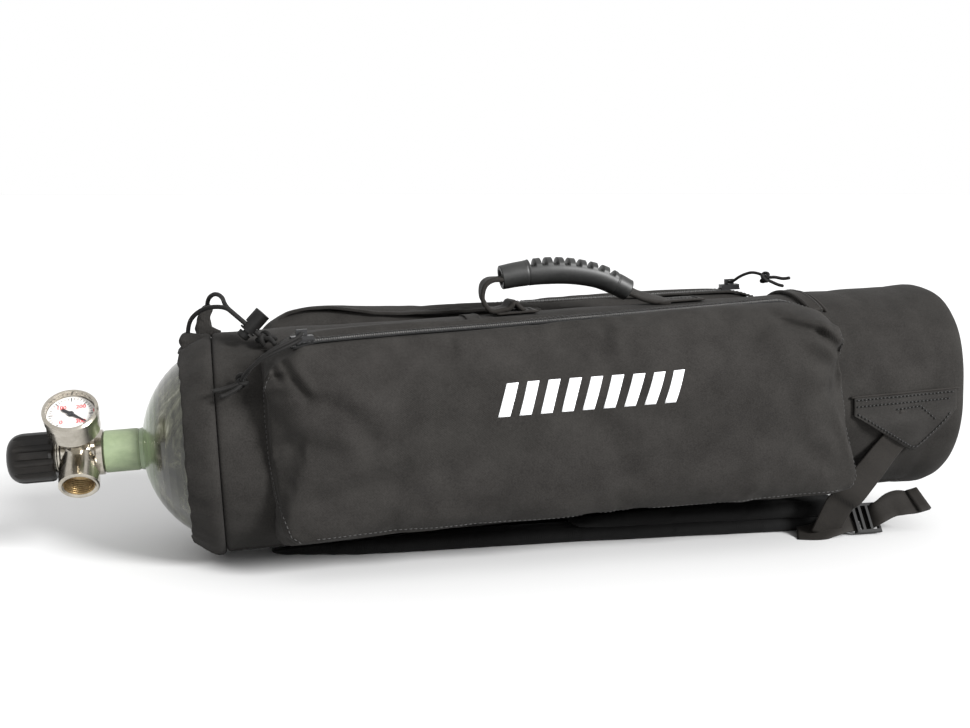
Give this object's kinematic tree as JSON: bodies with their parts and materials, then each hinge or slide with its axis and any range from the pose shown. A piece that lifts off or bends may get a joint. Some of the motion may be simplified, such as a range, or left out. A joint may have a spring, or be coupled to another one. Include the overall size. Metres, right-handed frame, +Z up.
{
  "type": "rescue air pack",
  "caption": "Composite breathing-air cylinder with valve and gauge, in a padded tubular carry bag with zipped pockets, carry handle, drawcord collar and folded straps.",
  "frame": {"origin": "centre of the footprint on the floor that the bag lies on", "axes": "+X along the bag towards its closed end, +Z up, +Y away from the side with the visible front pocket"},
  "size_m": [0.7614, 0.228, 0.2309],
  "materials": {
    "aluminium": "satin",
    "composite": "glossy translucent composite",
    "sleeve": "satin",
    "chrome": "polished",
    "brass": "machined",
    "steel": "machined",
    "rubber": "matte",
    "seat_plastic": "matte",
    "black_plastic": "satin",
    "dial": "matte",
    "lens": "clear",
    "needle": "matte",
    "fabric": "woven polyester, dark charcoal",
    "foam": "open-cell foam",
    "zip_tape": "woven tape with a coil",
    "webbing": "woven polyester webbing",
    "slider_metal": "satin",
    "cord": "braided",
    "grip_rubber": "satin",
    "patch": "coated fabric",
    "strap_fabric": "padded mesh fabric"
  },
  "bodies": {
    "bag": {"top_panel": "fabric", "near_side_panel": "fabric", "far_side_panel": "fabric", "back_panel": "fabric", "end_cap": "fabric", "end_spacer": "foam", "drawstring_collar": "fabric", "near_pocket": "fabric", "far_pocket": "fabric", "near_zip": "zip_tape", "far_zip": "zip_tape", "rear_binding": "webbing", "handle_anchors": "webbing", "handle_webbing_left": "webbing", "handle_webbing_right": "webbing", "near_anchor_patch": "patch", "far_anchor_patch": "patch", "near_lower_webbing": "webbing", "far_lower_webbing": "webbing", "near_webbing_tail": "webbing", "far_webbing_tail": "webbing", "near_strap_loop": "webbing", "far_strap_loop": "webbing", "near_shoulder_strap": "strap_fabric", "far_shoulder_strap": "strap_fabric", "drawcord_near": "cord", "drawcord_far": "cord", "drawcord_knot": "cord"},
    "cylinder": {"cylinder_liner": "aluminium", "cylinder_overwrap": "composite", "neck_sleeve": "sleeve", "neck_oring": "rubber", "valve_body": "chrome", "gland_nut": "chrome", "burst_disc_plug": "brass", "gauge_case": "chrome", "gauge_bezel": "chrome", "gauge_dial": "dial", "gauge_lens": "lens", "gauge_bourdon_tube": "brass"},
    "handwheel": {"handwheel_grip": "rubber", "handwheel_hub": "black_plastic", "handwheel_nut": "steel", "upper_spindle": "steel"},
    "valve_spindle": {"lower_spindle": "brass", "valve_seat": "seat_plastic"},
    "gauge_needle": {"gauge_needle": "needle"},
    "carry_handle": {"handle_grip": "grip_rubber", "handle_core_webbing": "webbing"},
    "near_slider": {"near_zip_slider": "slider_metal"},
    "near_pull": {"near_pull_cord": "cord", "near_pull_knot": "cord"},
    "far_slider": {"far_zip_slider": "slider_metal"},
    "far_pull": {"far_pull_cord": "cord", "far_pull_knot": "cord"},
    "cord_lock": {"cord_lock_barrel": "black_plastic", "cord_lock_spring": "steel"},
    "cord_lock_button": {"cord_lock_plunger": "black_plastic"},
    "near_ladder": {"near_ladder_lock": "black_plastic"},
    "far_ladder": {"far_ladder_lock": "black_plastic"}
  },
  "joints": [
    {"name": "cylinder_slide", "type": "slide", "parent": "bag", "child": "cylinder", "axis": [-0.999, 0, -0.0436], "range_m": [0, 0.5], "deforming": ["drawstring_collar"]},
    {"name": "handwheel_turn", "type": "hinge", "parent": "cylinder", "child": "handwheel", "pos_m": [-0.36355, 0, 0.0842], "axis": [-0.999, 0, -0.0436], "range_deg": [0, 720]},
    {"name": "spindle_travel", "type": "slide", "parent": "handwheel", "child": "valve_spindle", "axis": [-0.999, 0, -0.0436], "range_m": [0, 0.0026]},
    {"name": "gauge_needle_turn", "type": "hinge", "parent": "cylinder", "child": "gauge_needle", "pos_m": [-0.32972, -0.0315, 0.12325], "axis": [-0.0334, -0.6428, 0.7653], "range_deg": [-9, 261], "stiffness_Nm_per_rad": 0.0002},
    {"name": "handle_swing", "type": "hinge", "parent": "bag", "child": "carry_handle", "pos_m": [0.06221, 0, 0.19087], "axis": [0.999, 0, 0.0436], "range_deg": [-35, 35], "deforming": ["handle_webbing_left", "handle_webbing_right"]},
    {"name": "near_zip_slide", "type": "slide", "parent": "bag", "child": "near_slider", "axis": [0.9939, 0.0988, 0.0493], "range_m": [0, 0.39], "deforming": ["near_pull_cord", "near_pull_knot"]},
    {"name": "near_pull_swing", "type": "hinge", "parent": "near_slider", "child": "near_pull", "pos_m": [-0.16378, -0.0904, 0.18509], "axis": [-0.0987, 0.9951, -0.0043], "range_deg": [0, 120]},
    {"name": "far_zip_slide", "type": "slide", "parent": "bag", "child": "far_slider", "axis": [-0.9939, 0.0988, -0.0493], "range_m": [0, 0.375]},
    {"name": "far_pull_swing", "type": "hinge", "parent": "far_slider", "child": "far_pull", "pos_m": [0.22582, 0.05168, 0.20442], "axis": [0.0987, -0.9951, 0.0043], "range_deg": [0, 30]},
    {"name": "cord_lock_slide", "type": "slide", "parent": "bag", "child": "cord_lock", "axis": [-0.7373, 0, 0.6756], "range_m": [0, 0.01], "deforming": ["drawcord_near", "drawcord_far"]},
    {"name": "cord_lock_press", "type": "slide", "parent": "cord_lock", "child": "cord_lock_button", "axis": [0.6756, 0, 0.7373], "range_m": [0, 0.003], "stiffness_N_per_m": 600, "springref_m": -0.001, "deforming": ["cord_lock_spring"]},
    {"name": "near_ladder_tilt", "type": "hinge", "parent": "bag", "child": "near_ladder", "pos_m": [0.31555, -0.06, 0.0126], "axis": [0, 0.6, 0.8], "range_deg": [0, 25]},
    {"name": "far_ladder_tilt", "type": "hinge", "parent": "bag", "child": "far_ladder", "pos_m": [0.31555, 0.06, 0.0126], "axis": [0, 0.6, -0.8], "range_deg": [0, 25]}
  ],
  "couplings": [
    {"joint": "spindle_travel", "follows": "handwheel_turn", "m_per_rad": 0.00019894}
  ]
}
